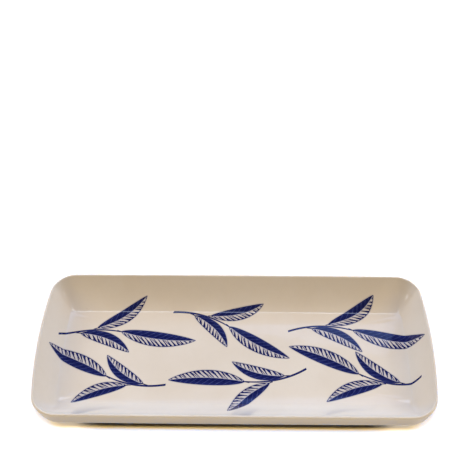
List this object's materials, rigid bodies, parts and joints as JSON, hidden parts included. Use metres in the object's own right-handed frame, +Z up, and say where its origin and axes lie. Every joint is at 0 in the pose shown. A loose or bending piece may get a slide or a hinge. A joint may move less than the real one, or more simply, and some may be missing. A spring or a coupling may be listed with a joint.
{
  "type": "appetizer platter",
  "caption": "Long rectangular glazed stoneware platter with a flat well, splayed long walls, ends that sweep up in a cove, an upright rim with a rounded lip and a bare foot ring, for serving appetizers.",
  "frame": {"origin": "centre of the plane that the foot ring stands on", "axes": "+X along the length, +Y from the near long side to the far one, +Z up out of the well"},
  "size_m": [0.36, 0.163, 0.0305],
  "materials": {
    "stoneware": "bare fired clay, fine grog, matt",
    "ivory_glaze": "glossy ivory glaze over a cobalt blue transfer print",
    "base_glaze": "glossy ivory glaze, plain"
  },
  "bodies": {
    "root": {"stoneware_body": "stoneware", "glaze_coat": "ivory_glaze", "base_glaze": "base_glaze"}
  },
  "joints": []
}
